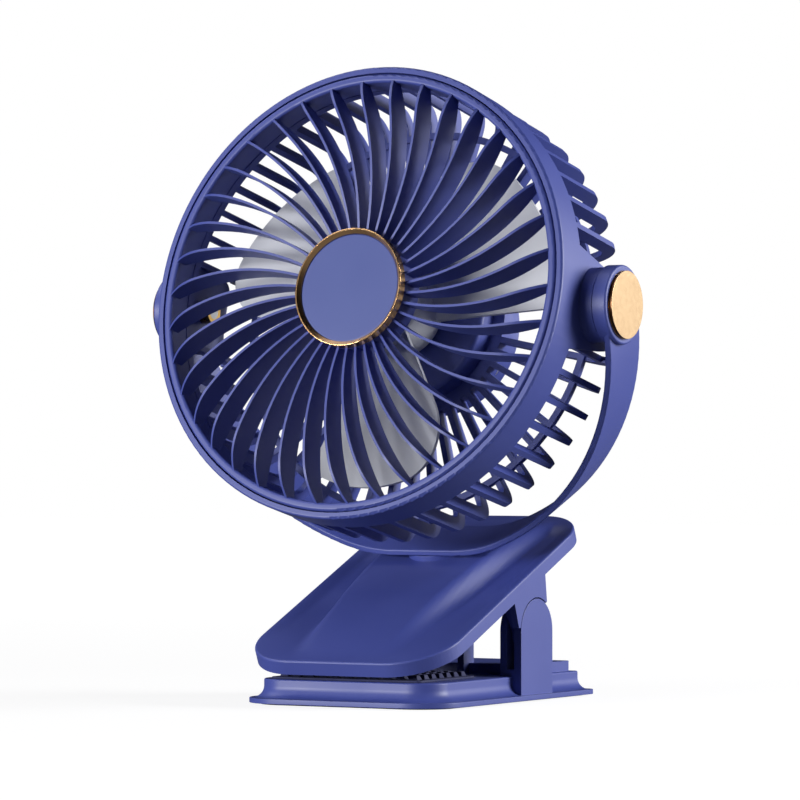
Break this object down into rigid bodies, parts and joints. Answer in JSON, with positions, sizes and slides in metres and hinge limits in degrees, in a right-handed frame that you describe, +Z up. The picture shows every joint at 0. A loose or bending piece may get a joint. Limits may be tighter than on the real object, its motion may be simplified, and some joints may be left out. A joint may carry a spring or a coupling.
{
  "type": "clip-on desk fan",
  "caption": "Round caged fan head tilting in a U-shaped yoke that swivels on a sprung desk clip, with gold trim caps and a rear motor pod with button and inlet.",
  "frame": {"origin": "middle of the underside of the anti-slip pad, where the fan stands", "axes": "+X to the fan's right, +Y to its rear, +Z up; the fan blows towards -Y and slightly up"},
  "size_m": [0.179, 0.1168, 0.2146],
  "materials": {
    "body_blue": "fine satin moulded blue",
    "badge_blue": "satin, slightly lighter blue",
    "gold_trim": "polished warm gold",
    "blade_grey": "smooth grey",
    "pad_rubber": "soft matte dark blue",
    "steel": "bright zinc",
    "spring_steel": "drawn wire",
    "insert_brass": "turned",
    "motor_steel": "plain",
    "cell_foil": "foil pouch",
    "board_green": "solder mask",
    "lens_clear": "frosted",
    "washer_nylon": "natural nylon"
  },
  "bodies": {
    "base": {"base_shell": "body_blue", "anti_slip_pad": "pad_rubber", "lower_grip_pad": "pad_rubber", "hinge_pin_left": "steel", "hinge_pin_right": "steel", "spring_arbor": "steel", "torsion_spring": "spring_steel"},
    "jaw": {"upper_jaw": "body_blue", "upper_grip_pad": "pad_rubber", "swivel_collar": "body_blue"},
    "yoke": {"yoke_band": "body_blue", "swivel_washer": "steel", "swivel_screw": "steel", "pivot_cap_left": "gold_trim", "pivot_cap_right": "gold_trim"},
    "head": {"drum_band": "body_blue", "front_grille": "body_blue", "hub_trim_ring": "gold_trim", "hub_badge": "badge_blue", "rear_grille": "body_blue", "pod_shell": "body_blue", "pod_cover": "body_blue", "pod_screws": "steel", "motor_can": "motor_steel", "motor_bearing": "insert_brass", "battery_cell": "cell_foil", "circuit_board": "board_green", "usb_socket": "steel", "indicator_lens": "lens_clear", "pivot_screw_left": "steel", "pivot_screw_right": "steel", "pivot_insert_left": "insert_brass", "pivot_insert_right": "insert_brass", "friction_washer_left": "washer_nylon", "friction_washer_right": "washer_nylon"},
    "impeller": {"impeller": "blade_grey", "motor_shaft": "steel", "motor_rotor": "motor_steel", "impeller_nut": "blade_grey"},
    "button": {"power_button": "body_blue"}
  },
  "joints": [
    {"name": "jaw_hinge", "type": "hinge", "parent": "base", "child": "jaw", "pos_m": [0, 0.0143, 0.0236], "axis": [-1, 0, 0], "range_deg": [0, 30], "stiffness_Nm_per_rad": 1, "springref_deg": -45.84, "deforming": ["torsion_spring"]},
    {"name": "yoke_swivel", "type": "hinge", "parent": "jaw", "child": "yoke", "pos_m": [0, 0.015, 0.05085], "axis": [0, -0.3649, 0.9311], "continuous": true},
    {"name": "head_tilt", "type": "hinge", "parent": "yoke", "child": "head", "pos_m": [0, -0.01725, 0.13315], "axis": [-1, 0, 0], "continuous": true},
    {"name": "impeller_spin", "type": "hinge", "parent": "head", "child": "impeller", "pos_m": [0, -0.04146, 0.13855], "axis": [0, -0.9761, 0.2175], "continuous": true},
    {"name": "power_press", "type": "slide", "parent": "head", "child": "button", "axis": [0, -0.9761, 0.2175], "range_m": [0, 0.001], "stiffness_N_per_m": 300, "springref_m": -0.002}
  ]
}
